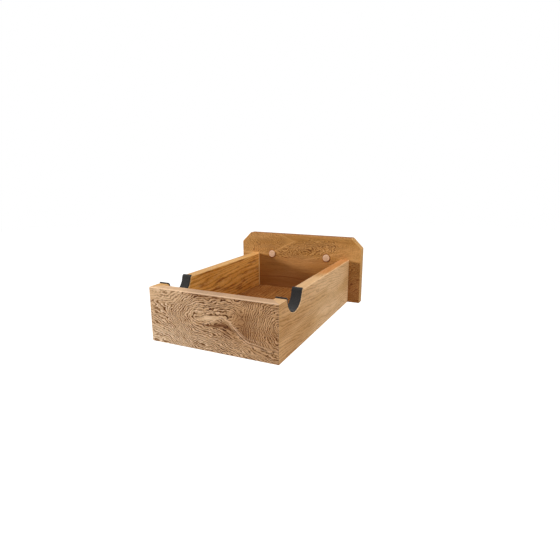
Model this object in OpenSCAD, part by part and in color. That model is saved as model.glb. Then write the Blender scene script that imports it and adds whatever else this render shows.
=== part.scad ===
// Wall rack for one bicycle. A solid oak tray stands out from a wall plate, and the bicycle's top
// tube lies in the felt-lined notches of the tray's two side boards. The tray holds the small kit.
// +X is to the right as seen from the room, +Y points into the wall and +Z is up.
// The origin is midway between the two wall screws, on the back face of the wall plate, and the
// tray's top edge is level with those screws. All lengths are in millimetres.

/* [Tray] */
// Outside width of the tray
tray_w = 250; // [200:1:340]
// Depth of the tray, from the front face of the wall plate to the front of the tray
tray_d = 380; // [300:1:460]
// Height of the tray's boards
tray_h = 100; // [80:1:150]
// Thickness of the tray's boards
board_t = 20; // [18:0.5:26]
// Thickness of the tray's floor panel
floor_t = 8; // [5:0.5:12]
// Height of the floor panel above the bottom edge of the boards
floor_lift = 10; // [6:0.5:20]
// Depth of the groove that holds the floor panel
groove_d = 6; // [4:0.5:8]

/* [Wall plate] */
// Width of the wall plate
plate_w = 305; // [290:1:400]
// Thickness of the wall plate
plate_t = 20; // [18:0.5:26]
// Height of the wall plate above the tray's top edge
plate_rise = 50; // [35:1:90]
// Size of the cut across each top corner of the wall plate
corner_cut = 23; // [5:1:33]

/* [Tube notches] */
// Distance from the front of the tray to the middle of the notch
notch_setback = 63; // [58:0.5:90]
// Radius of the round notch in the wood
notch_r = 32; // [26:0.5:34]
// Depth of the notch below the board's top edge
notch_depth = 30; // [20:0.5:34]
// Radius of the rounding at each side of the notch's mouth
mouth_r = 4; // [2:0.5:6]
// Thickness of the felt lining
lining_t = 2.5; // [1.5:0.25:4]
// How far the lining stays back from each face of its board
lining_inset = 0.5; // [0.25:0.25:2]

/* [Wall screws and their caps] */
// Distance between the two wall screws
screw_pitch = 140; // [110:1:160]
// Radius of the recess in the wall plate that holds the screw's head
recess_r = 7; // [6.8:0.1:8.5]
// Depth of that recess
recess_depth = 13; // [12:0.5:14]
// Radius of the wall screw's smooth neck
wall_neck_r = 2.5; // [2:0.1:2.6]
// Radius of the wall screw's threaded part
wall_thread_r = 3; // [2.7:0.1:3.4]
// Length of the threaded part that goes into the wall
wall_thread_l = 50; // [30:1:80]
// Radius of the wall screw's head
wall_head_r = 5.5; // [4.5:0.1:5.8]
// Height of the wall screw's head
wall_head_h = 4; // [3:0.1:5]
// Radius of the washer under the head
washer_r = 6.3; // [6:0.1:6.5]
// Thickness of the washer
washer_t = 1.5; // [1:0.1:2]
// Radius of the cap's visible button
cap_r = 8.2; // [7.7:0.1:10]
// Height of the button's straight edge
cap_edge_h = 1; // [0.5:0.1:2]
// Height of the button's dome above that edge
cap_dome_h = 1.8; // [1:0.1:3]
// Length of the cap's stem in the recess
cap_stem_l = 6; // [4:0.25:6.5]

/* [Joinery] */
// Length of each screw that holds a side board to the wall plate
side_screw_l = 60; // [50:1:70]
// Radius of those screws
side_screw_r = 2.5; // [2:0.1:3]
// Radius of their countersunk heads
side_head_r = 4.8; // [4.4:0.1:5.4]
// Distance of each of those screws from the board's top or bottom edge
side_screw_edge = 22; // [20:0.5:26]
// Radius of the dowel between the side board and the wall plate
dowel_r = 4; // [3:0.25:5]
// Length of that dowel
dowel_l = 40; // [30:1:50]
// Depth of the dowel's hole in the wall plate
dowel_sink = 12; // [8:0.5:14]
// Thickness of the loose tongue in each mitred front corner
tongue_t = 4; // [3:0.25:5]
// Width of the tongue across the joint
tongue_w = 12; // [8:0.5:13]
// Distance from the inner corner to the middle of the tongue, along the mitre
tongue_offset = 10; // [9:0.5:11]
// Distance of the tongue's upper end below the board's top edge
tongue_top = 12; // [8:1:20]

/* [Hidden] */
$fn = 48;

// Clearances
groove_fit = 0.2;       // floor panel in its grooves
tongue_fit = 0.1;       // tongue in its slot
dowel_fit = 0.05;       // dowel in its hole
screw_fit = 0.05;       // assembly screw in its hole
neck_fit = 0.5;         // wall screw's thread through the wall plate
washer_fit = 0.2;       // wall screw's thread through its washer
lining_fit = 0.1;       // lining on the wood
cap_fit = 0.08;         // cap's stem in the recess
head_sink = 0.3;        // countersunk head below the wall plate's back face
hole_end = 2;           // free depth beyond a dowel or a screw's tip
tongue_floor_gap = 4;   // tongue's lower end above the floor panel
past = 1;               // how far a cut runs past the face it opens

// Planes and centre lines
plate_front_y = -plate_t;
tray_front_y = plate_front_y - tray_d;
inner_front_y = tray_front_y + board_t;
outer_x = tray_w / 2;
inner_x = outer_x - board_t;
board_mid_x = outer_x - board_t / 2;
floor_z = -tray_h + floor_lift;
notch_y = tray_front_y + notch_setback;
notch_z = notch_r - notch_depth;
// Middle of the mouth's rounding, measured along Y from the notch's middle
mouth_y = sqrt(pow(notch_r + mouth_r, 2) - pow(notch_z + mouth_r, 2));
// Angle below the horizontal of the line from the notch's middle to that point
mouth_angle = asin((notch_z + mouth_r) / (notch_r + mouth_r));
// Angle between neighbouring points of the notch's round bottom
bottom_step = 4;
side_screw_zs = [-side_screw_edge, side_screw_edge - tray_h];
dowel_z = -tray_h / 2;
neck_hole_r = wall_thread_r + neck_fit;
neck_l = plate_t - recess_depth + washer_t;
tongue_bottom_z = floor_z + floor_t + tongue_floor_gap;
socket_depth = 2.4;
// Widest radii of the hexagonal sockets in the assembly screws' and the wall screws' heads
side_socket_r = side_screw_r * 0.8;
wall_socket_r = wall_head_r / 2;
point_l = 7;
// Radius of a screw's blunt tip
tip_r = 0.25;

// Turns its children from +Z to -Y, which is out of the wall
module facing_room(x, y, z) {
    translate([x, y, z]) rotate([90, 0, 0]) children();
}

// Turns its children from +Z to +Y, which is into the wall
module facing_wall(x, y, z) {
    translate([x, y, z]) rotate([-90, 0, 0]) children();
}

// Extrudes a (Y, Z) outline along X, by w on each side of x
module across(x, w) {
    translate([x - w / 2, 0, 0]) rotate([90, 0, 90]) linear_extrude(height = w) children();
}

// Points of an arc about middle, from one angle to another
function arc(middle, r, from, to, steps) =
    [for (i = [0:steps]) middle + r * [cos(from + (to - from) * i / steps), sin(from + (to - from) * i / steps)]];

// Half of the notch's outline, k inside the wood's surface: from the mouth down to near the bottom
function half_path(k) = concat(
    arc([mouth_y, -mouth_r], mouth_r + k, 90, 180 - mouth_angle, 10),
    arc([0, notch_z], notch_r - k, -mouth_angle - bottom_step, -90 + bottom_step / 2, 20));

function reversed(points) = [for (i = [len(points) - 1:-1:0]) points[i]];

// The whole outline, in (Y, Z) about the notch's middle
function notch_path(k) = concat(half_path(k), reversed([for (p = half_path(k)) [-p[0], p[1]]]));

// What the notch takes out of a board
module notch_outline() {
    polygon(concat(notch_path(0), [[-mouth_y, past], [mouth_y, past]]));
}

// The lining's outline: it follows the notch and curls over both sides of the mouth
module lining_outline() {
    polygon(concat(notch_path(lining_fit), reversed(notch_path(lining_fit + lining_t))));
}

// The floor panel's space, grown by fit on every side
module floor_block(fit) {
    half_w = inner_x + groove_d - groove_fit + fit;
    front = inner_front_y - groove_d + groove_fit - fit;
    back = plate_front_y + groove_d - groove_fit + fit;
    translate([-half_w, front, floor_z - fit / 2]) cube([2 * half_w, back - front, floor_t + fit]);
}

// The tongue's space in the right-hand mitre, grown by fit on every side
module tongue_block(fit) {
    along = tongue_offset / sqrt(2);
    height = -tongue_top - tongue_bottom_z;
    translate([inner_x + along, inner_front_y - along, tongue_bottom_z + height / 2]) rotate(45)
        cube([tongue_w + 2 * fit, tongue_t + 2 * fit, height + 2 * fit], center = true);
}

// A countersunk screw driven from the wall plate's back face towards -Y, grown by fit
module side_screw_shape(fit) {
    head_l = side_head_r - side_screw_r;
    body_l = side_screw_l - point_l;
    cylinder(r = side_screw_r + fit, h = body_l);
    cylinder(r1 = side_head_r + fit, r2 = side_screw_r + fit, h = head_l);
    translate([0, 0, body_l]) cylinder(r1 = side_screw_r + fit, r2 = tip_r + fit, h = point_l);
}

module side_screw_places(side) {
    for (z = side_screw_zs) facing_room(side * board_mid_x, -head_sink, z) children();
}

module back_plate() {
    half_w = plate_w / 2;
    color("#a8733f") difference() {
        facing_room(0, 0, 0) linear_extrude(height = plate_t) polygon([
            [-half_w, -tray_h], [half_w, -tray_h],
            [half_w, plate_rise - corner_cut], [half_w - corner_cut, plate_rise],
            [-half_w + corner_cut, plate_rise], [-half_w, plate_rise - corner_cut]]);
        floor_block(groove_fit);
        for (side = [-1, 1]) {
            facing_room(side * screw_pitch / 2, past, 0) cylinder(r = neck_hole_r, h = plate_t + past);
            facing_room(side * screw_pitch / 2, plate_front_y + recess_depth, 0)
                cylinder(r = recess_r, h = recess_depth + past);
            side_screw_places(side) side_screw_shape(screw_fit);
            side_screw_places(side) translate([0, 0, -past])
                cylinder(r = side_head_r + screw_fit, h = past + screw_fit);
            facing_room(side * board_mid_x, plate_front_y + dowel_sink, dowel_z)
                cylinder(r = dowel_r + dowel_fit, h = dowel_sink + past);
        }
    }
}

// One side board, on the side given as -1 for left and 1 for right
module side_board(side) {
    color("#b9824c") mirror([side < 0 ? 1 : 0, 0, 0]) difference() {
        translate([0, 0, -tray_h]) linear_extrude(height = tray_h) polygon([
            [inner_x, inner_front_y], [outer_x, tray_front_y],
            [outer_x, plate_front_y], [inner_x, plate_front_y]]);
        across(board_mid_x, board_t + 2 * past) translate([notch_y, 0]) notch_outline();
        floor_block(groove_fit);
        tongue_block(tongue_fit);
        side_screw_places(1) side_screw_shape(screw_fit);
        facing_room(board_mid_x, plate_front_y + past, dowel_z)
            cylinder(r = dowel_r + dowel_fit, h = dowel_l - dowel_sink + hole_end + past);
    }
}

module side_board_left() { side_board(-1); }
module side_board_right() { side_board(1); }

module front_board() {
    color("#c08d5b") difference() {
        translate([0, 0, -tray_h]) linear_extrude(height = tray_h) polygon([
            [-outer_x, tray_front_y], [outer_x, tray_front_y],
            [inner_x, inner_front_y], [-inner_x, inner_front_y]]);
        floor_block(groove_fit);
        for (turn = [0, 1]) mirror([turn, 0, 0]) tongue_block(tongue_fit);
    }
}

module tray_floor() {
    color("#a06a3c") translate([0, 0, -groove_fit / 2]) floor_block(0);
}

// One felt lining, on the side given as -1 for left and 1 for right
module notch_lining(side) {
    color("#2b2a2a") across(side * board_mid_x, board_t - 2 * lining_inset)
        translate([notch_y, 0]) lining_outline();
}

module notch_lining_left() { notch_lining(-1); }
module notch_lining_right() { notch_lining(1); }

module corner_tongue_left() { color("#c9a173") mirror([1, 0, 0]) tongue_block(0); }
module corner_tongue_right() { color("#c9a173") tongue_block(0); }

// One dowel, half in the wall plate and half in the side board
module side_dowel(side) {
    color("#d2ab7c") facing_room(side * board_mid_x, plate_front_y + dowel_sink - hole_end / 2, dowel_z)
        cylinder(r = dowel_r, h = dowel_l);
}

module side_dowel_left() { side_dowel(-1); }
module side_dowel_right() { side_dowel(1); }

// One assembly screw at height z
module side_screw(side, z) {
    color("#c9b16a") facing_room(side * board_mid_x, -head_sink, z) difference() {
        side_screw_shape(0);
        translate([0, 0, -past]) cylinder(r = side_socket_r, h = socket_depth + past, $fn = 6);
    }
}

module side_screw_left_upper() { side_screw(-1, side_screw_zs[0]); }
module side_screw_left_lower() { side_screw(-1, side_screw_zs[1]); }
module side_screw_right_upper() { side_screw(1, side_screw_zs[0]); }
module side_screw_right_lower() { side_screw(1, side_screw_zs[1]); }

module wall_washer(side) {
    color("#b8bcc0") facing_room(side * screw_pitch / 2, plate_front_y + recess_depth, 0) difference() {
        cylinder(r = washer_r, h = washer_t);
        translate([0, 0, -past]) cylinder(r = wall_thread_r + washer_fit, h = washer_t + 2 * past);
    }
}

module wall_washer_left() { wall_washer(-1); }
module wall_washer_right() { wall_washer(1); }

// One wall screw: the head bears on its washer, and the threaded part starts at the wall
module wall_screw(side) {
    head_y = plate_front_y + recess_depth - washer_t;
    color("#aeb3b8") facing_wall(side * screw_pitch / 2, head_y, 0) {
        difference() {
            translate([0, 0, -wall_head_h]) cylinder(r = wall_head_r, h = wall_head_h);
            translate([0, 0, -wall_head_h - past])
                cylinder(r = wall_socket_r, h = socket_depth + past, $fn = 6);
        }
        cylinder(r = wall_neck_r, h = neck_l);
        translate([0, 0, neck_l]) cylinder(r = wall_thread_r, h = wall_thread_l - point_l);
        translate([0, 0, neck_l + wall_thread_l - point_l])
            cylinder(r1 = wall_thread_r, r2 = tip_r, h = point_l);
    }
}

module wall_screw_left() { wall_screw(-1); }
module wall_screw_right() { wall_screw(1); }

// One push-in cap: a low domed button on a stem that fits the recess
module screw_cap(side) {
    dome_r = (pow(cap_r, 2) + pow(cap_dome_h, 2)) / (2 * cap_dome_h);
    color("#dcb48c") facing_room(side * screw_pitch / 2, plate_front_y, 0) {
        translate([0, 0, -cap_stem_l]) cylinder(r = recess_r - cap_fit, h = cap_stem_l);
        cylinder(r = cap_r, h = cap_edge_h);
        intersection() {
            translate([0, 0, cap_edge_h + cap_dome_h - dome_r]) sphere(r = dome_r);
            translate([0, 0, cap_edge_h]) cylinder(r = cap_r, h = cap_dome_h + past);
        }
    }
}

module screw_cap_left() { screw_cap(-1); }
module screw_cap_right() { screw_cap(1); }

back_plate();
side_board_left();
side_board_right();
front_board();
tray_floor();
notch_lining_left();
notch_lining_right();
corner_tongue_left();
corner_tongue_right();
side_dowel_left();
side_dowel_right();
side_screw_left_upper();
side_screw_left_lower();
side_screw_right_upper();
side_screw_right_lower();
wall_washer_left();
wall_washer_right();
wall_screw_left();
wall_screw_right();
screw_cap_left();
screw_cap_right();
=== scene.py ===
"""Looks of an oak wall rack for one bicycle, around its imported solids.

The frame has +X to the right as seen from the room, +Y into the wall and +Z up, and the tray's top
edge is at z = 0. Lengths are in metres, except in the wood's figures and in names that end in mm,
which are in millimetres.
"""

from math import cos, pi, radians, sin
from types import SimpleNamespace

import bmesh
import bpy
from mathutils import Matrix, Vector

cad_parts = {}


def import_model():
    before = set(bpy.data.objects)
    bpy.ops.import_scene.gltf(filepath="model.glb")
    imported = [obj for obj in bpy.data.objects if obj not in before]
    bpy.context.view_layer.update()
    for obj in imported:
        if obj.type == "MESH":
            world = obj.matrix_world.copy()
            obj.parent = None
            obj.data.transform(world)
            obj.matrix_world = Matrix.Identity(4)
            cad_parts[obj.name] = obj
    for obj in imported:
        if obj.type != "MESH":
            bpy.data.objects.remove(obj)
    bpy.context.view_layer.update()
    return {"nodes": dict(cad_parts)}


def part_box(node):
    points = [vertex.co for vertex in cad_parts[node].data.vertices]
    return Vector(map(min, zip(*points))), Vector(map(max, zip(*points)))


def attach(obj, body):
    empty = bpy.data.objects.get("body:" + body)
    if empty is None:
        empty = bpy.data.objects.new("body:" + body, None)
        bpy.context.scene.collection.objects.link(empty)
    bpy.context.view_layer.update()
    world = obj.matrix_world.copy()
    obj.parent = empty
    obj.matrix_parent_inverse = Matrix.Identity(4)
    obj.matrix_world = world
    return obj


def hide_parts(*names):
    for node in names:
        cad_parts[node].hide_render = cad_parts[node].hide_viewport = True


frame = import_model()

MM = 0.001
X, Y = Vector((1, 0, 0)), Vector((0, 1, 0))
WHITE = (1, 1, 1, 1)


# ---------------------------------------------------------------- colours and node graphs

def srgb(red, green, blue):
    """A linear colour from the usual 0 to 255 values."""
    def linear(value):
        value /= 255
        return value / 12.92 if value <= 0.04045 else ((value + 0.055) / 1.055) ** 2.4
    return (linear(red), linear(green), linear(blue), 1.0)


def dimmed(colour, share):
    """The colour with only a share of its light."""
    return tuple(part * share for part in colour[:3]) + (1.0,)


class Graph:
    """The nodes of a new material or world, with one short method for each kind of node it needs."""

    def __init__(self, owner):
        owner.use_nodes = True
        self.owner = owner
        self.tree = owner.node_tree
        self.tree.nodes.clear()

    def node(self, kind, inputs=(), **settings):
        """A new node. Each input is a Value, a socket or a plain value, and None leaves it as it is."""
        made = self.tree.nodes.new(kind)
        for key, value in settings.items():
            setattr(made, key, value)
        for key, value in dict(inputs).items():
            if isinstance(value, Value):
                value = value.socket
            if isinstance(value, bpy.types.NodeSocket):
                self.tree.links.new(value, made.inputs[key])
            elif value is not None:
                made.inputs[key].default_value = value
        return made

    def number(self, kind, output, inputs=(), **settings):
        """The Value that comes out of a new node."""
        return Value(self, self.node(kind, inputs, **settings).outputs[output])

    def coordinate(self, name):
        return self.node("ShaderNodeTexCoord").outputs[name]

    def position_mm(self):
        return self.vector("SCALE", self.coordinate("Object"), scale=1 / MM)

    def vector(self, operation, a, b=None, scale=None):
        inputs = {0: a, 1: b, "Scale": scale}
        return self.node("ShaderNodeVectorMath", inputs, operation=operation).outputs["Vector"]

    def split(self, vector):
        parts = self.node("ShaderNodeSeparateXYZ", {0: vector}).outputs
        return [Value(self, part) for part in parts]

    def join(self, x, y, z):
        return self.node("ShaderNodeCombineXYZ", {0: x, 1: y, 2: z}).outputs[0]

    def noise(self, place, scale=1.0, detail=2.0, roughness=0.5):
        """Smooth noise from 0 to 1."""
        inputs = {"Vector": place, "Scale": scale, "Detail": detail, "Roughness": roughness}
        return self.number("ShaderNodeTexNoise", 0, inputs, noise_dimensions="3D")

    def cells(self, place, scale=1.0):
        """Distance from the middle of the nearest cell, in cells."""
        inputs = {"Vector": place, "Scale": scale}
        return self.number("ShaderNodeTexVoronoi", "Distance", inputs, feature="F1")

    def mix(self, share, a, b):
        """The colour a where share is 0, and b where it is 1."""
        return self.node("ShaderNodeMix", {0: share, 6: a, 7: b}, data_type="RGBA").outputs[2]

    def bump(self, height, distance, strength):
        inputs = {"Height": height, "Distance": distance, "Strength": strength}
        return self.node("ShaderNodeBump", inputs).outputs[0]

    def finish(self, **inputs):
        """Ends the graph in one surface shader, and returns the material."""
        named = {key.replace("_", " "): value for key, value in inputs.items()}
        shader = self.node("ShaderNodeBsdfPrincipled", named)
        self.node("ShaderNodeOutputMaterial", {0: shader.outputs[0]}, is_active_output=True)
        return self.owner


class Value:
    """A number in a graph, to reckon with as in Python."""

    def __init__(self, graph, socket):
        self.graph = graph
        self.socket = socket

    def math(self, operation, other=None):
        return self.graph.number("ShaderNodeMath", 0, {0: self, 1: other}, operation=operation)

    def __add__(self, other):
        return self.math("ADD", other)

    def __sub__(self, other):
        return self.math("SUBTRACT", other)

    def __rsub__(self, other):
        return self.graph.number("ShaderNodeMath", 0, {0: other, 1: self}, operation="SUBTRACT")

    def __mul__(self, other):
        return self.math("MULTIPLY", other)

    def step(self, start, end, before=0.0, after=1.0):
        """A smooth step from before to after, as the number goes from start to end."""
        inputs = {"Value": self, "From Min": start, "From Max": end, "To Min": before, "To Max": after}
        return self.graph.number("ShaderNodeMapRange", 0, inputs, interpolation_type="SMOOTHSTEP")

    def path(self, first, last):
        """The same step from point to point. A point is a number and what it gives there."""
        return self.step(first[0], last[0], first[1], last[1])

    def window(self, start, full, fading, end):
        """1 from full to fading, and 0 before start and past end."""
        return self.step(start, full) * self.step(end, fading)

    def hill(self, width):
        """1 where the number is 0, and towards 0 once it is more than width away."""
        share = self * (1 / width)
        return (share * share * -1.0).math("EXPONENT")


def reach(a, b):
    """The length of the side across from a right angle between a and b."""
    return (a * a + b * b).math("SQRT")


def valley(value, softness):
    """How far the number is from 0, with a round bottom instead of a sharp one."""
    return (value * value + softness ** 2).math("SQRT")


def blend(share, a, b):
    """a where share is 0 and b where it is 1."""
    return a + (b - a) * share


def most(first, *others):
    """The greatest of the numbers."""
    for other in others:
        first = first.math("MAXIMUM", other)
    return first


# ---------------------------------------------------------------- oak

# Which of x, y and z lies along the grain, across the board and into it
GRAIN_X, GRAIN_Y, GRAIN_Y_FLAT = (0, 2, 1), (1, 2, 0), (1, 0, 2)
NEXT_NOISE = 3.1        # what the seed grows by with each noise


class Wood:
    """A place in a board: along the grain, across the board and into it, in millimetres."""

    def __init__(self, graph, axes, seed):
        parts = graph.split(graph.position_mm())
        self.graph = graph
        self.axes = axes
        self.seed = seed
        self.along, self.across, self.deep = [parts[axis] for axis in axes]

    def noise(self, length, width, detail=1.0):
        """Smooth noise of blobs that are length long and width wide and thick. Each call differs."""
        self.seed += NEXT_NOISE
        place = self.graph.join(
            self.along * (1 / length) + self.seed,
            self.across * (1 / width) + self.seed * 0.7,
            self.deep * (1 / width) + self.seed * 1.3)
        return self.graph.noise(place, detail=detail)

    def noise_along(self, rings, length, width, detail=1.0):
        """Noise in dashes that follow the rings, however they turn. width is in rings."""
        self.seed += NEXT_NOISE
        place = self.graph.join(
            self.along * (1 / length) + self.seed,
            (self.across + self.deep) * (1 / length),
            rings * (1 / width))
        return self.graph.noise(place, detail=detail)

    def spot(self, middle, size, strength):
        """A soft patch. middle and size are along and across the board."""
        along = (self.along - middle[0]).hill(size[0])
        across = (self.across - middle[1]).hill(size[1])
        return along * across * strength


def wavy(wood, rings, *waves):
    """The rings with waves in them. Each wave has a length, a width, its detail and its height."""
    for length, width, detail, height in waves:
        rings = rings + wood.noise(length, width, detail) * height
    return rings


def ring_marks(wood, rings):
    """What the growth rings leave on a surface, each as a share, and the slow changes between them."""
    turn = rings.math("FRACT")
    wave = turn.window(0.0, 0.16, 0.16, 0.8) - 0.42     # each ring starts sharply and fades slowly
    dashes = wood.noise_along(rings, 8, 0.42, 1.5)
    bold = wood.noise_along(rings, 60, 1.7)
    flecks = wood.noise(6, 1.5)
    marks = SimpleNamespace()
    marks.early = (wave * 0.7 + dashes * 1.1 + bold * 0.5 + flecks * 0.8).step(1.14, 1.68)
    marks.late = (wave * -0.72 + dashes * 0.9 - bold * 0.3 + flecks * 0.8).step(0.72, 1.16)
    marks.pores = wood.noise(5, 0.9, 2.0).step(0.50, 0.62) * (marks.early * 0.75 + 0.25)
    marks.fibre = wood.noise(50, 0.7, 2.0)
    marks.drift = wood.noise(150, 26, 2.0)
    marks.clouds = wood.noise(46, 9, 2.0)
    wide_open = wood.noise_along(rings, 2.6, 0.3, 2.0).step(0.40, 0.54)
    marks.vessels = marks.early.step(0.1, 0.7) * wide_open
    marks.hairlines = wood.noise_along(rings, 9, 0.13, 1.5).step(0.44, 0.62)
    return marks


def marked_colour(graph, marks, strength, tones, cloud):
    """The wood's colour under its oil: two tones that drift, with every mark over them."""
    light, dark, brown, pale = tones
    deepest = dimmed(brown, 0.5)
    colour = graph.mix(marks.drift.step(0.34, 0.66), light, dark)
    colour = graph.mix(marks.clouds.step(0.5, 0.72, 0.0, cloud), colour, brown)
    for mark, share, tone in (
            (marks.late, 0.6, pale),
            (marks.hairlines, 0.28, brown),
            (marks.early, 0.66, brown),
            (marks.pores, 0.4, deepest),
            (marks.vessels, 0.62, deepest)):
        colour = graph.mix(mark * strength * share, colour, tone)
    return colour


def oak(name, axes, figure, tones, spacing=4.4, seed=1.0, contrast=1.0, cloud=0.0, top_light=0.34,
        depth=None, stain=None, stained=None, calm=None, bare=None):
    """Oiled oak. tones are the light and dark sides of the late wood, the early wood, and a pale tone for
    worn wood and painted light.

    figure gives the field of growth rings, which is solid, so that every face and edge agrees.
    spacing is the width of a ring, contrast how strong its lines are, and cloud how strong the
    blotches between them. End grain is pale, edges are pale with wear and a painted highlight, and
    top faces are paler by a share of their own, which is painted light from above.
    From place to place, depth above 1 makes the oil darker and richer, stain turns it to the colour
    stained, calm takes the lines away, and bare makes it as pale as worn wood.
    """
    graph = Graph(bpy.data.materials.new(name))
    wood = Wood(graph, axes, seed)
    marks = ring_marks(wood, figure(wood) * (1 / spacing))

    arris = graph.number("ShaderNodeAttribute", "Fac", attribute_name="arris")
    facing = graph.split(graph.coordinate("Normal"))
    # top faces are painted paler, as light from above; arrises are paler, as wear and a painted highlight
    up = facing[2].step(0.6, 0.95)
    end_grain = facing[wood.axes[0]].math("ABSOLUTE").step(0.45, 0.7)
    rubbed_and_lit = most(up * top_light, arris * 0.62)
    worn_and_lit = most(rubbed_and_lit, end_grain * 0.5)
    strength = (1 - rubbed_and_lit * 0.7) * contrast
    if bare:
        uncovered = bare(wood)
        worn_and_lit = most(worn_and_lit, uncovered)
        strength = strength * (1 - uncovered)
    if calm:
        strength = strength * (1 - calm(wood))

    colour = marked_colour(graph, marks, strength, tones, cloud)
    if stain:
        colour = graph.mix(stain(wood), colour, stained)
    oil = marks.fibre.step(0.25, 0.75, 1.08, 0.92) + up * 0.22
    if depth:
        oil = oil * depth(wood)
    colour = graph.node("ShaderNodeGamma", {"Color": colour, "Gamma": oil}).outputs[0]
    colour = graph.vector("SCALE", colour, scale=1.35 - oil * 0.35)
    colour = graph.mix(worn_and_lit, colour, tones[-1])
    height = marks.fibre * 0.25 - marks.pores - marks.early * 0.35
    return graph.finish(
        Base_Color=colour,
        Roughness=marks.pores * 0.16 + marks.early * 0.08 - arris * 0.08 + 0.60,
        Specular_IOR_Level=0.11,
        Normal=graph.bump(height, 0.12 * MM, 0.6))


# ---------------------------------------------------------------- the front board's figure

# Points on a board are along its grain, from the rack's middle plane or from the wall, and up from the
# tray's top edge.
TIP_SOFTNESS = 5                # how round the tips of the flame's rings are
EYE = (-5, -1.5)                # middle of the eye; its height is from the flame's middle line
EYE_SIZE = (18, 4)
LENS_HEIGHT = -53
SWIRL = (125, -42)              # its middle
SWIRL_REACH = 84                # from the swirl's middle to its ring 0
GLOW = ((34, -60), (17, 9), 0.16)
CALM_PATCHES = (                # middle, size and strength of each
    ((52, -39), (17, 12), 0.7),
    ((60, -18), (12, 8), 0.5),
    ((50, -67), (10, 5), 0.5))
TOP_PATCHES = (
    ((-24, -2), (24, 4), 0.34),
    ((12, -2), (10, 4), 0.34),
    ((66, -2), (34, 4), 0.24))


def flame_dip(wood):
    """Height of the flame's middle line from its tip at the left to its lowest point."""
    return wood.along.path((-118, -25), (-36, -41))


def flame_axis(wood):
    """Height of the middle line of the flame's upper half, which climbs again in the eye."""
    return flame_dip(wood) + wood.along.path((-20, 0), (40, 9))


def fault_line(wood):
    """Height of the fault, which climbs under the eye and then sinks to the right."""
    along = wood.along
    ridge = along.path((-16, -52), (30, -34.5)) + along.path((20, 0), (74, -35))
    ridge = ridge + along.path((50, 0), (130, -8))
    return blend(along.step(-36, -14), flame_axis(wood), ridge)


def front_figure(wood):
    """A flame that opens to the right round a long eye, a fault beneath it, and a swirl at the right."""
    along, across = wood.along, wood.across
    opening = along.path((-150, 0), (-10, 16)) + along.path((-92, 0), (-22, 26))
    slope = along.path((-120, 0.62), (-20, 0.85))
    sunk_axis = flame_dip(wood) + along.path((-30, 0), (124, -38))
    upper = valley(across - flame_axis(wood), TIP_SOFTNESS) * slope - opening
    lower = valley(across - sunk_axis, TIP_SOFTNESS) * slope - opening
    swirl = reach((along - SWIRL[0]) * 0.9, (across - SWIRL[1]) * 0.72) - SWIRL_REACH
    upper = blend(along.step(40, 72), upper, swirl)
    above_fault = (across - fault_line(wood)).step(-1, 1)
    rings = blend(above_fault, lower, upper) + wood.deep * 1.5
    return wavy(wood, rings, (110, 34, 1.0, 12), (30, 13, 1.5, 8), (11, 6, 1.5, 5), (4, 2.6, 1.0, 2))


def front_eye(wood):
    """The long light eye inside the flame."""
    height = wood.across - flame_axis(wood) - EYE[1]
    return (wood.along - EYE[0]).hill(EYE_SIZE[0]) * height.hill(EYE_SIZE[1])


def front_lens(wood):
    """A dark lens under the fault, which starts as a thin line at its left."""
    along = wood.along
    bend = along.path((26, 0), (66, 14)) - along.path((0, 0), (24, 3.5))
    height = wood.across - LENS_HEIGHT + bend
    thinness = along.path((-16, 2.2), (20, 0.68))
    return (height * thinness).hill(2.4) * along.window(-28, -18, 28, 56)


def front_calm(wood):
    """Where lines fade: the eye, the lens, the seam with the swirl, the upper left and both ends."""
    along, across = wood.along, wood.across
    corner = along.step(-44, -70) * across.step(-28, -16)
    ends = along.step(20, 80) * 0.3 + along.step(-94, -118) * 0.3
    calm = front_eye(wood) + front_lens(wood) * 0.75 + corner * 0.5 + ends
    for patch in CALM_PATCHES:
        calm = calm + wood.spot(*patch)
    return calm


def front_stain(wood):
    """Red brown in and near the lens, along and above the fault's right part, and by the top edge."""
    along, across = wood.along, wood.across
    height = across - fault_line(wood)
    above = (along - 60).hill(18) * height.step(0, 6) * across.step(-14, -30)
    banks = ((height + 2.5).hill(1.0) + (height - 2.3).hill(0.9)) * along.window(36, 50, 90, 116)
    stain = front_lens(wood) * 0.56 + wood.spot(*GLOW) + above * 0.22 + banks * 0.24
    for patch in TOP_PATCHES:
        stain = stain + wood.spot(*patch)
    return stain


def front_depth(wood):
    """Lighter to the left, in the eye and towards the lower edge, and darker to the right and in stains."""
    lower_edge = wood.across.step(-56, -84) * 0.14
    deeper = wood.along.path((-110, 0.92), (110, 1.36)) + front_stain(wood) * 0.8
    return deeper - front_eye(wood) * 0.3 - lower_edge


def front_streaks(wood):
    """Pale broken lines along the fault, which part to the right, and the pale eye."""
    along = wood.along
    sway = wood.noise(16, 8) * 2.4 - 1.2
    height = wood.across - fault_line(wood) + sway
    first = height.hill(0.95) * along.step(-24, -8)
    second = (height + 4.8).hill(1.0) * along.step(30, 44)
    third = (height - along.path((20, 2.5), (110, 7))).hill(0.8) * along.step(30, 50)
    broken = wood.noise(16, 4, 2.0).step(0.32, 0.56, 0.2, 0.7)
    threads = wood.noise_along(height, 20, 1.5).step(0.50, 0.62)
    strands = threads * (height + 1).hill(5.5) * along.step(20, 44)
    streaks = (first * 0.75 + second * 0.6 + third * 0.4) * broken + strands * 0.3
    return streaks * along.path((74, 1.0), (110, 0.4)) + front_eye(wood) * 0.26


def oak_front():
    return oak(
        "oak_front", GRAIN_X, front_figure,
        (srgb(229, 189, 145), srgb(213, 170, 125), srgb(115, 64, 15), srgb(247, 211, 174)),
        spacing=2.9, contrast=1.54, top_light=0.36,
        depth=front_depth, stain=front_stain, stained=srgb(104, 46, 0),
        calm=front_calm, bare=front_streaks)


# ---------------------------------------------------------------- the wall plate's figure

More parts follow.
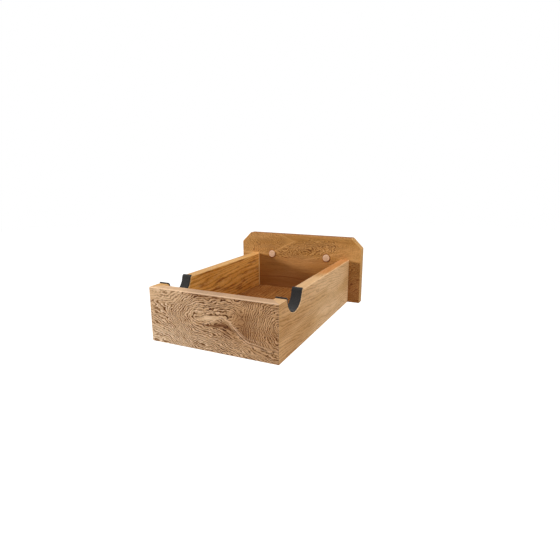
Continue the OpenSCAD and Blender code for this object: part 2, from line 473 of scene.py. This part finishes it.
OVAL = (20, 13)                 # middle of the long oval of nested rings
OVAL_TILT = 0.17                # its climb to the right
OVAL_SQUASH = 0.33              # its height as a share of its length
VEE_MIDDLE = -52                # where along the plate the V's two sides meet

PLATE_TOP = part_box("back_plate")[1].z / MM
cap_low, cap_high = [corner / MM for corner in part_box("screw_cap_right")]
CAP_X = (cap_low.x + cap_high.x) / 2        # the caps' distance from the middle
CAP_R = (cap_high.x - cap_low.x) / 2


def plate_oval(wood):
    """How far a ring of the oval stands above and below the oval's middle."""
    along = wood.along - OVAL[0]
    return reach(along * OVAL_SQUASH, wood.across - OVAL[1] - along * OVAL_TILT)


def plate_curve(wood):
    """Height above the pale curve that parts the V from the oval."""
    return wood.across - wood.along.path((-90, 0), (8, 37))


def plate_figure(wood):
    """The oval, a V above its left end, and straight grain below."""
    along, across = wood.along, wood.across
    figured = most(across.step(-16, 2), along.step(108, 118))
    vee = valley(along - VEE_MIDDLE, 4) * 0.62 - across * 0.56 + 22
    beside = along.step(-14, -40) * across.step(2, 20)
    rings = blend(beside, plate_oval(wood), vee)
    rings = blend(figured, 26 - across, rings) + wood.deep * 0.9
    return wavy(
        wood, rings, (120, 40, 1.0, 12), (30, 11, 1.5, figured * 12 + 4), (9, 4.5, 1.5, figured * 4.5 + 2))


def plate_calm(wood):
    """Where lines fade: outside the oval, but for the V and the right end, and in the straight grain."""
    oval = plate_oval(wood).step(20, 31)
    vee = wood.along.step(-24, -40) * plate_curve(wood).step(-3, 3)
    lower = wood.across.step(-2, -12)
    right_end = lower * wood.along.step(114, 126)
    below = lower * wood.along.step(122, 112)
    outside = oval * (1 - vee * 0.6) * (1 - right_end * 0.8)
    return most(outside * 0.75, below * 0.45)


def plate_streaks(wood):
    """The pale curve, a branch that leads up from it, the wedge between, and a rim under the oval."""
    along, across = wood.along, wood.across
    above_curve = plate_curve(wood)
    above_branch = across + along * 0.4 - 29
    left_of_end = along.step(-4, -14)
    curve = above_curve.hill(2.0) * left_of_end
    branch = above_branch.hill(1.8) * left_of_end * along.step(-54, -40)
    wedge = above_curve.step(0, 3) * above_branch.step(0, -3) * left_of_end * along.step(-50, -24)
    above_rim = across + 11 - along * 0.19 - along * along * 0.0004
    rim = above_rim.hill(1.3) * along.window(4, 24, 100, 122)
    streaks = most(curve * 0.5, branch * 0.34, rim * 0.4, wedge * 0.16)
    return streaks * wood.noise(22, 6).step(0.3, 0.5, 0.55, 1.0)


def plate_stain_and_shade(wood):
    """A darker lower stave and, further down, painted shade that is darker and redder, with one dark line,
    dark at the top, and a painted contact shadow round the caps.
    """
    along, across = wood.along, wood.across
    line = (across + 60 - (along + 35).hill(48) * 5).hill(1.2) * along.step(70, 20)
    # the first step is the darker lower stave; the long step further down is painted shade
    stain = across.step(-3.5, -5.5, 0.0, 0.2) + across.step(-8, -80, 0.0, 0.24) + line * 0.3
    stain = stain + across.step(PLATE_TOP - 1.6, PLATE_TOP - 0.6) * 0.24
    # a dark ring round each cap is a painted contact shadow
    for middle in (-CAP_X, CAP_X):
        stain = stain + (reach(along - middle, across) - CAP_R - 0.8).hill(1.4) * 0.56
    return stain


def oak_plate():
    return oak(
        "oak_plate", GRAIN_X, plate_figure,
        (srgb(200, 147, 86), srgb(176, 124, 61), srgb(98, 54, 18), srgb(224, 174, 110)),
        spacing=2.9, seed=7.0, contrast=0.88, cloud=0.2, top_light=0.0,
        stain=plate_stain_and_shade, stained=srgb(118, 46, 0), calm=plate_calm, bare=plate_streaks)


# ---------------------------------------------------------------- the side boards' and the floor's figure

BOARD_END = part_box("side_board_left")[1].y / MM         # where the side boards meet the wall plate
LEFT_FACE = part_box("side_board_left")[0].x / MM         # the left board's outer face


def straight_figure(wood):
    """Straight grain with a slow wave."""
    rings = wood.across * 0.85 + wood.along * 0.05 + wood.deep * 0.75
    return wavy(wood, rings, (200, 30, 1.0, 28), (70, 12, 1.0, 7), (18, 4, 1.0, 2))


def climbing_figure(wood):
    """Straight grain that climbs towards the wall."""
    return straight_figure(wood) - wood.along * 0.08


def top_edge(wood):
    """1 on a side board's top edge."""
    return wood.across.step(-2.2, -0.8)


def left_outer_tone(wood):
    """The left board's outer face is browner than its inner one, whose orange is painted shade and bounced
    light from inside the tray.
    """
    return wood.deep.step(LEFT_FACE + 13, LEFT_FACE + 3) * 0.62


def left_worn_and_lit(wood):
    """The left board's end at the wall plate is pale, as wear and as a painted highlight on its rounded
    edge, and its top edge further forward is worn pale.
    """
    plate_end = wood.along.step(BOARD_END - 6, BOARD_END - 5) * 0.9
    return most(plate_end, top_edge(wood) * wood.along.step(-40, -110) * 0.5)


def right_depth(wood):
    """The right board is darker towards the front."""
    return wood.along.path((-370, 1.18), (-180, 0.96))


def right_worn(wood):
    """The right board's top edge is pale towards the front."""
    return top_edge(wood) * wood.along.step(-180, -225) * 0.55


def right_stain(wood):
    """The right board's top edge is orange towards the wall."""
    return top_edge(wood) * wood.along.step(-195, -160) * 0.6


# The orange tones are painted shade and bounced light inside the tray; the outer face is turned browner.
def oak_left():
    return oak(
        "oak_left", GRAIN_Y, climbing_figure,
        (srgb(228, 166, 82), srgb(201, 134, 50), srgb(136, 68, 12), srgb(244, 200, 136)),
        spacing=6.4, seed=4.0, contrast=0.44, cloud=0.75,
        stain=left_outer_tone, stained=srgb(166, 120, 80), bare=left_worn_and_lit)


def oak_right():
    return oak(
        "oak_right", GRAIN_Y, straight_figure,
        (srgb(232, 187, 136), srgb(210, 162, 106), srgb(142, 92, 48), srgb(242, 202, 154)),
        spacing=4.0, seed=24.0, contrast=0.3, cloud=0.2, top_light=0.1,
        depth=right_depth, stain=right_stain, stained=srgb(208, 128, 44), bare=right_worn)


# The tray floor's darker tones are painted shade, for its place inside the tray.
def oak_floor():
    return oak(
        "oak_floor", GRAIN_Y_FLAT, straight_figure,
        (srgb(184, 130, 72), srgb(166, 111, 56), srgb(118, 70, 28), srgb(216, 172, 120)),
        seed=11.0, contrast=0.6, top_light=0.0)


# ---------------------------------------------------------------- other materials

def beech(name, light, dark, brown):
    """Pale, close-grained wood with short fine flecks."""
    graph = Graph(bpy.data.materials.new(name))
    wood = Wood(graph, GRAIN_X, 2.0)
    flecks = wood.noise(1.6, 0.35)
    bands = wood.noise(14, 2.2, 2.0)
    colour = graph.mix(bands.step(0.35, 0.65), light, dark)
    colour = graph.mix(flecks.step(0.56, 0.70, 0.0, 0.6), colour, brown)
    return graph.finish(
        Base_Color=colour,
        Roughness=flecks.step(0.4, 0.7, 0.40, 0.58),
        Specular_IOR_Level=0.4,
        Normal=graph.bump(flecks, 0.05 * MM, 0.5))


def felt(name):
    """Black wool felt: matted fibres with a few pale hairs."""
    graph = Graph(bpy.data.materials.new(name))
    place = graph.position_mm()
    bend = graph.noise(place, 0.8, detail=3.0)
    twist = graph.vector("SCALE", graph.join(bend, bend, bend), scale=4.0)
    drawn_out = graph.vector("MULTIPLY", graph.vector("ADD", place, twist), (3.5, 0.7, 2.2))
    hairs = graph.noise(drawn_out, detail=3.0, roughness=0.7)
    clumps = graph.noise(place, 0.35, detail=3.0)
    colour = graph.mix(clumps.step(0.35, 0.65), srgb(19, 18, 17), srgb(35, 32, 30))
    colour = graph.mix(hairs.step(0.60, 0.72, 0.0, 0.55), colour, srgb(92, 84, 78))
    return graph.finish(
        Base_Color=colour,
        Roughness=clumps.step(0.3, 0.7, 0.86, 0.97),
        Specular_IOR_Level=0.15,
        Sheen_Weight=0.18,
        Sheen_Roughness=0.6,
        Normal=graph.bump(hairs, 0.25 * MM, 0.8))


def plated_steel(name, tone, tint):
    """Zinc-plated steel: fine crystals, a slow change of tint, and dull patches."""
    graph = Graph(bpy.data.materials.new(name))
    place = graph.position_mm()
    crystals = graph.cells(place, 2.4)
    slow = graph.noise(place, 0.16)
    colour = graph.mix(slow.step(0.38, 0.64), tone, tint)
    colour = graph.mix(crystals.step(0.1, 0.8, 0.0, 0.25), colour, dimmed(tone, 0.7))
    return graph.finish(
        Base_Color=colour,
        Metallic=1.0,
        Roughness=slow.step(0.3, 0.7, 0.28, 0.46),
        Normal=graph.bump(crystals, 0.02 * MM, 0.4))


# ---------------------------------------------------------------- mesh helpers

CLOSE = 0.001 * MM      # corners nearer than this are one
FLAT = radians(0.3)     # neighbouring faces that differ by less than this are one


def corners_in(parts):
    return [part for part in parts if isinstance(part, bmesh.types.BMVert)]


def node_shape(node):
    """A new bmesh with the triangles of the node's solid."""
    shape = bmesh.new()
    shape.from_mesh(frame["nodes"][node].data)
    return shape


def cleaned(shape):
    """The shape with its doubled corners merged and its flat faces joined."""
    bmesh.ops.remove_doubles(shape, verts=shape.verts, dist=CLOSE)
    bmesh.ops.dissolve_limit(shape, angle_limit=FLAT, verts=shape.verts, edges=shape.edges)
    return shape


def cad_shape(node):
    """The node's own shape."""
    return cleaned(node_shape(node))


def hull_shape(node):
    """The node's convex hull, which leaves out its holes, grooves and recesses."""
    shape = node_shape(node)
    hull = bmesh.ops.convex_hull(shape, input=shape.verts)
    inside = corners_in(hull["geom_interior"] + hull["geom_unused"])
    bmesh.ops.delete(shape, geom=inside, context="VERTS")
    outside = set(hull["geom"])
    loose = [face for face in shape.faces if face not in outside]
    bmesh.ops.delete(shape, geom=loose, context="FACES")
    return cleaned(shape)


def broad_face(shape, normal):
    """Corners of the largest face that looks along normal, in order."""
    faces = [face for face in shape.faces if face.normal.dot(normal) > 0.999]
    widest = max(faces, key=lambda face: face.calc_area())
    return [corner.co.copy() for corner in widest.verts]


def to_object(shape, name):
    mesh = bpy.data.meshes.new(name)
    shape.to_mesh(mesh)
    shape.free()
    made = bpy.data.objects.new(name, mesh)
    bpy.context.scene.collection.objects.link(made)
    return made


def smooth_by_angle(piece, degrees=40):
    """Smooth shading with sharp edges past the angle, and flat faces that stay flat."""
    mesh = piece.data
    mesh.polygons.foreach_set("use_smooth", [True] * len(mesh.polygons))
    mesh.set_sharp_from_angle(angle=radians(degrees))
    weighted = piece.modifiers.new("flat_faces", "WEIGHTED_NORMAL")
    weighted.keep_sharp = True
    weighted.weight = 100


def boolean(piece, other, operation):
    """Cuts the piece with another object's solid, which is used up."""
    cut = piece.modifiers.new("cut", "BOOLEAN")
    cut.operation = operation
    cut.solver = "EXACT"
    cut.object = other
    done = piece.evaluated_get(bpy.context.evaluated_depsgraph_get())
    mesh = bpy.data.meshes.new_from_object(done)
    piece.modifiers.clear()
    old = piece.data
    piece.data = mesh
    bpy.data.meshes.remove(old)
    bpy.data.objects.remove(other)
    mesh.name = piece.name


def stand_for(piece, node, material, body="rack"):
    """The piece takes the node's place, body, material slot and look."""
    piece.data.materials.clear()
    piece.data.materials.append(material)
    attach(piece, body)
    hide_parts(node)


# ---------------------------------------------------------------- boards and panels

ARRIS = 1.6 * MM        # radius of the boards' sanded edges
ARRIS_STEPS = 4
SHARP = radians(25)     # edges with a smaller turn between their faces stay as they are
LESS_WORN = 0.12        # wear of an edge that hands and goods don't rub


def blank(corners, depth):
    """A straight block: the outline given by corners, pushed through by depth."""
    shape = bmesh.new()
    face = shape.faces.new([shape.verts.new(corner) for corner in corners])
    pushed = bmesh.ops.extrude_face_region(shape, geom=[face])
    bmesh.ops.translate(shape, vec=depth, verts=corners_in(pushed["geom"]))
    bmesh.ops.recalc_face_normals(shape, faces=shape.faces)
    return shape


def looks_up(face):
    return face.normal.z > 0.1


def looks_sideways(face):
    return abs(face.normal.x) > 0.3


def round_edges(shape, radius, rubbed_and_lit=looks_up):
    """Rounds the shape's edges, and marks on their faces how pale each is painted: wear, and on the picked
    edges a painted highlight as well.
    """
    worn_and_lit = shape.faces.layers.float.new("arris")
    edges = [edge for edge in shape.edges if edge.calc_face_angle(0) > SHARP]
    rounded = bmesh.ops.bevel(
        shape, geom=edges, offset=radius, offset_type="OFFSET", segments=ARRIS_STEPS,
        profile=0.5, affect="EDGES", clamp_overlap=False)
    for face in rounded["faces"]:
        face[worn_and_lit] = 1.0 if rubbed_and_lit(face) else LESS_WORN


def board(node, outline, depth, material, rubbed_and_lit=looks_up):
    """A board with sanded edges and all the joinery of its node."""
    shape = blank(outline, depth)
    round_edges(shape, ARRIS, rubbed_and_lit)
    piece = to_object(shape, node + "_sanded")
    boolean(piece, to_object(cad_shape(node), "cutter"), "INTERSECT")
    smooth_by_angle(piece)
    stand_for(piece, node, material)


def facing_board(node, material, rubbed_and_lit=looks_up):
    """A board that faces the room. Its hull gives the outline, and its node the joinery."""
    low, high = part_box(node)
    outline = broad_face(hull_shape(node), -Y)
    board(node, outline, Y * (high.y - low.y), material, rubbed_and_lit)


def front_board(material):
    facing_board("front_board", material)


def back_plate(material):
    facing_board("back_plate", material, looks_sideways)


def side_board(side, material):
    """Its notch is in the outline. Its grooves and mitre come from the node's own shape."""
    node = "side_board_" + side
    out = X if side == "right" else -X
    low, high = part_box(node)
    outline = broad_face(cad_shape(node), out)
    board(node, outline, -out * (high.x - low.x), material)


def eased_copy(node, radius, material):
    """The node's own shape with every edge eased."""
    shape = cad_shape(node)
    round_edges(shape, radius)
    piece = to_object(shape, node + "_eased")
    smooth_by_angle(piece)
    stand_for(piece, node, material)


def tray_floor(material):
    eased_copy("tray_floor", 0.5 * MM, material)


def corner_tongue(side, material):
    eased_copy("corner_tongue_" + side, 0.4 * MM, material)


# ---------------------------------------------------------------- round pieces

STEPS = 48              # corners of a full turn
SOCKET_DEPTH = 2.4 * MM
# One turn of a thread: shares of its pitch, and of its height over the core
THREAD = ((0.0, 0.0), (0.34, 0.04), (0.47, 1.0), (0.53, 1.0), (0.66, 0.04))


def place_of(node, facing):
    """Where the node's own axis starts, and which way it points: out of the wall or into it."""
    low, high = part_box(node)
    to_room = facing == "room"
    start = Vector(((low.x + high.x) / 2, high.y if to_room else low.y, (low.z + high.z) / 2))
    return Matrix.Translation(start) @ Matrix.Rotation(radians(90 if to_room else -90), 4, "X")


def round_size(node):
    """Radius and length of a round node, which lies along Y."""
    low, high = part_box(node)
    return (high.x - low.x) / 2, high.y - low.y


def turned(rows, name, place):
    """A closed round body. Each row is (radius, height), or a function of the turn that gives both."""
    shape = bmesh.new()
    grid = []
    for row in rows:
        line = []
        for step in range(STEPS + 1):
            turn = step / STEPS
            radius, height = row(turn) if callable(row) else row
            angle = 2 * pi * turn
            line.append(shape.verts.new((radius * cos(angle), radius * sin(angle), height)))
        grid.append(line)
    for below, above in zip(grid, grid[1:]):
        for step in range(STEPS):
            shape.faces.new((below[step], below[step + 1], above[step + 1], above[step]))
    bmesh.ops.remove_doubles(shape, verts=shape.verts, dist=2 * CLOSE)
    bmesh.ops.dissolve_degenerate(shape, edges=shape.edges, dist=2 * CLOSE)
    bmesh.ops.recalc_face_normals(shape, faces=shape.faces)
    bmesh.ops.transform(shape, matrix=place, verts=shape.verts)
    return to_object(shape, name)


def arc_rows(middle, radius, start, end, steps=6):
    """Rows along an arc, for a rounded edge. Angles in degrees, from the outward direction."""
    angles = [radians(start + (end - start) * step / steps) for step in range(steps + 1)]
    return [(middle[0] + radius * cos(angle), middle[1] + radius * sin(angle)) for angle in angles]


def thread_rows(start, end, core, crest, pitch, point):
    """Helical rows from start to end, along a screw whose last stretch tapers to its point."""
    turns = int((end - start) / pitch) + 2

    def row(number, share, rise):
        def at(turn):
            height = min(max(start + pitch * (number + share + turn), start), end)
            taper = min(1.0, (end - height) / point)
            if taper <= 0:
                return 0.0, height
            fade = min(1.0, (height - start) / pitch)
            radius = core * taper ** 0.7 + (crest - core) * rise * fade * min(1.0, taper * 1.6)
            return radius, height
        return at

    return [row(number, share, rise) for number in range(-1, turns) for share, rise in THREAD]


def cut_socket(piece, place, radius):
    """A hexagonal socket, cut along the piece's axis from its start."""
    shape = bmesh.new()
    bmesh.ops.create_cone(
        shape, cap_ends=True, segments=6, radius1=radius, radius2=radius, depth=2 * SOCKET_DEPTH)
    bmesh.ops.transform(shape, matrix=place, verts=shape.verts)
    boolean(piece, to_object(shape, "cutter"), "DIFFERENCE")


def round_piece(node, ending, rows, degrees, material, body="rack"):
    """A turned piece whose rows start at its end towards the wall."""
    piece = turned(rows, node + ending, place_of(node, "room"))
    smooth_by_angle(piece, degrees)
    stand_for(piece, node, material, body)


def screw(node, facing, rows, socket_r, material):
    """A screw whose rows start at its head, with a socket in it."""
    place = place_of(node, facing)
    piece = turned(rows, node + "_threaded", place)
    cut_socket(piece, place, socket_r)
    smooth_by_angle(piece, 35)
    stand_for(piece, node, material)


def wall_screw(side, material):
    """A hexagon-socket wood screw. Its thread starts where the wall does, at y = 0."""
    node = "wall_screw_" + side
    head_r, length = round_size(node)
    wall = -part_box(node)[0].y
    head_h, edge, fillet = 4.0 * MM, 0.6 * MM, 0.3 * MM
    neck_r, neck_taper = 2.5 * MM, 1.0 * MM
    core_r, crest_r, pitch, point = 2.1 * MM, 3.0 * MM, 2.8 * MM, 8 * MM
    rows = [(0, 0)] + arc_rows((head_r - edge, edge), edge, -90, 0)
    rows += [(head_r, head_h - edge / 3), (head_r - edge / 3, head_h)]
    rows += [(neck_r + fillet, head_h), (neck_r, head_h + fillet), (neck_r, wall - neck_taper)]
    rows += [(core_r, wall)] + thread_rows(wall, length, core_r, crest_r, pitch, point)
    screw(node, "wall", rows, head_r / 2, material)


def side_screw(side, level, material):
    """A countersunk assembly screw, driven from the wall plate's back into a side board."""
    node = "side_screw_" + side + "_" + level
    head_r, length = round_size(node)
    rim, shank_r, socket_r = 0.25 * MM, 2.5 * MM, 2.0 * MM
    core_r, pitch, point = 1.7 * MM, 2.4 * MM, 7 * MM
    shank_end, thread_start = 0.36 * length, 0.38 * length
    rows = [(0, 0), (head_r - rim, 0), (head_r, rim), (shank_r, head_r - shank_r)]
    rows += [(shank_r, shank_end), (core_r, thread_start)]
    rows += thread_rows(thread_start, length, core_r, shank_r, pitch, point)
    screw(node, "room", rows, socket_r, material)


def wall_washer(side, material):
    """A flat washer with chamfered edges, under the wall screw's head."""
    node = "wall_washer_" + side
    outer, height = round_size(node)
    inner, edge = 3.2 * MM, 0.3 * MM
    rows = [(inner, edge), (inner + edge, 0), (outer - edge, 0), (outer, edge)]
    rows += [(outer, height - edge), (outer - edge, height)]
    rows += [(inner + edge, height), (inner, height - edge), (inner, edge)]
    round_piece(node, "_turned", rows, 40, material)


def screw_cap(side, material):
    """A turned button on a stem. It comes straight out of the wall plate with its own body."""
    node = "screw_cap_" + side
    button_r, total = round_size(node)
    stem_r, stem_l, chamfer = 6.92 * MM, 6 * MM, 0.5 * MM
    ease, rim, crown, crown_steps = 0.3 * MM, 1.1 * MM, 0.35 * MM, 6
    face_r = button_r - rim
    rows = [(0, 0), (stem_r - chamfer, 0), (stem_r, chamfer), (stem_r, stem_l)]
    rows += [(button_r - ease, stem_l), (button_r, stem_l + ease)]
    rows += arc_rows((face_r, total - crown - rim), rim, 0, 84)
    for step in range(1, crown_steps + 1):
        outward = 1 - step / crown_steps
        rows.append((face_r * outward, total - crown * outward ** 2))
    round_piece(node, "_turned", rows, 50, material, "cap_" + side)


def side_dowel(side, material):
    """A fluted dowel with chamfered ends."""
    node = "side_dowel_" + side
    radius, length = round_size(node)
    chamfer, flutes, flute_depth = 1.0 * MM, 16, 0.24 * MM

    def fluted(height):
        return lambda turn: (radius - flute_depth / 2 * (1 - cos(2 * pi * flutes * turn)), height)

    rows = [(0, 0), (radius - chamfer, 0), fluted(chamfer)]
    rows += [fluted(length - chamfer), (radius - chamfer, length), (0, length)]
    round_piece(node, "_fluted", rows, 35, material)


# ---------------------------------------------------------------- felt linings

def notch_lining(side, material):
    """A strip of felt: soft edges and a slightly uneven surface, in the space of its node."""
    node = "notch_lining_" + side
    piece = to_object(cad_shape(node), node + "_felt")
    remesh = piece.modifiers.new("felt_mesh", "REMESH")
    remesh.mode = "VOXEL"
    remesh.voxel_size = 0.55 * MM
    remesh.use_smooth_shade = True
    soft = piece.modifiers.new("soft_edges", "SMOOTH")
    soft.factor = 0.5
    soft.iterations = 5
    lumps = bpy.data.textures.new(node + "_lumps", "CLOUDS")
    lumps.noise_scale = 2.2 * MM
    lumps.noise_depth = 3
    uneven = piece.modifiers.new("uneven", "DISPLACE")
    uneven.texture = lumps
    uneven.texture_coords = "GLOBAL"
    uneven.strength = 0.35 * MM
    uneven.mid_level = 0.7
    stand_for(piece, node, material)


# ---------------------------------------------------------------- stage, light and camera

FLOOR_Z, FLOOR_R = -1.2, 12.0
FLOOR_LIFT = 0.72               # what makes the floor show white near the rack
LIFT_START, LIFT_END = 1.0, 3.5     # distances between which the lift grows to 1
AMBIENT = 0.17
AIM = (0, -0.2, -0.03)
LAMPS = (                       # name, place, width and power in watts
    ("ceiling", (0.1, -0.7, 2.3), 1.6, 34),
    ("key", (-2.0, -1.5, 0.54), 0.42, 44),
    ("fill", (2.2, -0.7, 0.6), 1.2, 20),
    ("back", (-0.9, 1.7, -0.75), 1.2, 17))
CAMERA_PLACE = (0.3831, -0.9558, 0.1875)
CAMERA_DOWN, CAMERA_LEFT = 13.76, 24.78     # degrees that it looks down, and to the left of +Y
SENSOR_MM, LENS_MM = 36, 27.42


def seen_rays(graph):
    """1 for what the camera sees, directly, mirrored or through glass, and 0 for light on the object."""
    rays = graph.node("ShaderNodeLightPath").outputs
    names = ("Is Camera Ray", "Is Glossy Ray", "Is Transmission Ray")
    return most(*[Value(graph, rays[name]) for name in names])


def floor():
    """A pale floor well below the rack, which hangs on a wall. It shows white but keeps its shadows."""
    graph = Graph(bpy.data.materials.new("pale_floor"))
    away = graph.number("ShaderNodeVectorMath", "Value", {0: graph.coordinate("Object")}, operation="LENGTH")
    lift = seen_rays(graph) * away.step(LIFT_START, LIFT_END, FLOOR_LIFT, 1.0)
    pale = graph.node("ShaderNodeBsdfDiffuse", {"Color": srgb(246, 246, 246)})
    glow = graph.node("ShaderNodeEmission", {"Color": WHITE, "Strength": lift})
    both = graph.node("ShaderNodeAddShader", {0: pale.outputs[0], 1: glow.outputs[0]})
    graph.node("ShaderNodeOutputMaterial", {0: both.outputs[0]})
    shape = bmesh.new()
    bmesh.ops.create_circle(shape, cap_ends=True, segments=96, radius=FLOOR_R)
    piece = to_object(shape, "floor")
    piece.location = (0, 0, FLOOR_Z)
    piece.data.materials.append(graph.owner)


def world():
    """Even white surroundings, and a plain white background."""
    graph = Graph(bpy.data.worlds.new("studio"))
    soft = graph.node("ShaderNodeBackground", {"Color": WHITE, "Strength": AMBIENT})
    white = graph.node("ShaderNodeBackground", {"Color": WHITE})
    both = graph.node("ShaderNodeMixShader", {0: seen_rays(graph), 1: soft.outputs[0], 2: white.outputs[0]})
    graph.node("ShaderNodeOutputWorld", {0: both.outputs[0]})
    bpy.context.scene.world = graph.owner


def lamp(name, place, width, power):
    data = bpy.data.lights.new(name, "AREA")
    data.shape = "DISK"
    data.size = width
    data.energy = power
    made = bpy.data.objects.new(name, data)
    made.location = place
    made.rotation_euler = (Vector(AIM) - Vector(place)).to_track_quat("-Z", "Y").to_euler()
    bpy.context.scene.collection.objects.link(made)


def camera():
    data = bpy.data.cameras.new("camera")
    data.sensor_width = SENSOR_MM
    data.lens = LENS_MM
    made = bpy.data.objects.new("camera", data)
    made.location = CAMERA_PLACE
    made.rotation_euler = (radians(90 - CAMERA_DOWN), 0, radians(CAMERA_LEFT))
    bpy.context.scene.collection.objects.link(made)
    bpy.context.scene.camera = made


# ---------------------------------------------------------------- the scene

pale_beech = beech("beech", srgb(222, 184, 142), srgb(208, 166, 122), srgb(172, 124, 84))
cap_wood = beech("cap_wood", srgb(219, 183, 150), srgb(204, 163, 129), srgb(164, 114, 80))
black_felt = felt("felt")
zinc_steel = plated_steel("zinc_steel", (0.66, 0.68, 0.70, 1), (0.60, 0.64, 0.70, 1))
yellow_steel = plated_steel("screw_steel", (0.60, 0.45, 0.19, 1), (0.54, 0.42, 0.28, 1))

front_board(oak_front())
back_plate(oak_plate())
tray_floor(oak_floor())
for side, side_oak in (("left", oak_left()), ("right", oak_right())):
    side_board(side, side_oak)
    notch_lining(side, black_felt)
    corner_tongue(side, pale_beech)
    side_dowel(side, pale_beech)
    wall_washer(side, zinc_steel)
    wall_screw(side, zinc_steel)
    screw_cap(side, cap_wood)
    for level in ("upper", "lower"):
        side_screw(side, level, yellow_steel)

floor()
world()
for row in LAMPS:
    lamp(*row)
camera()
bpy.context.scene.view_settings.view_transform = "Standard"
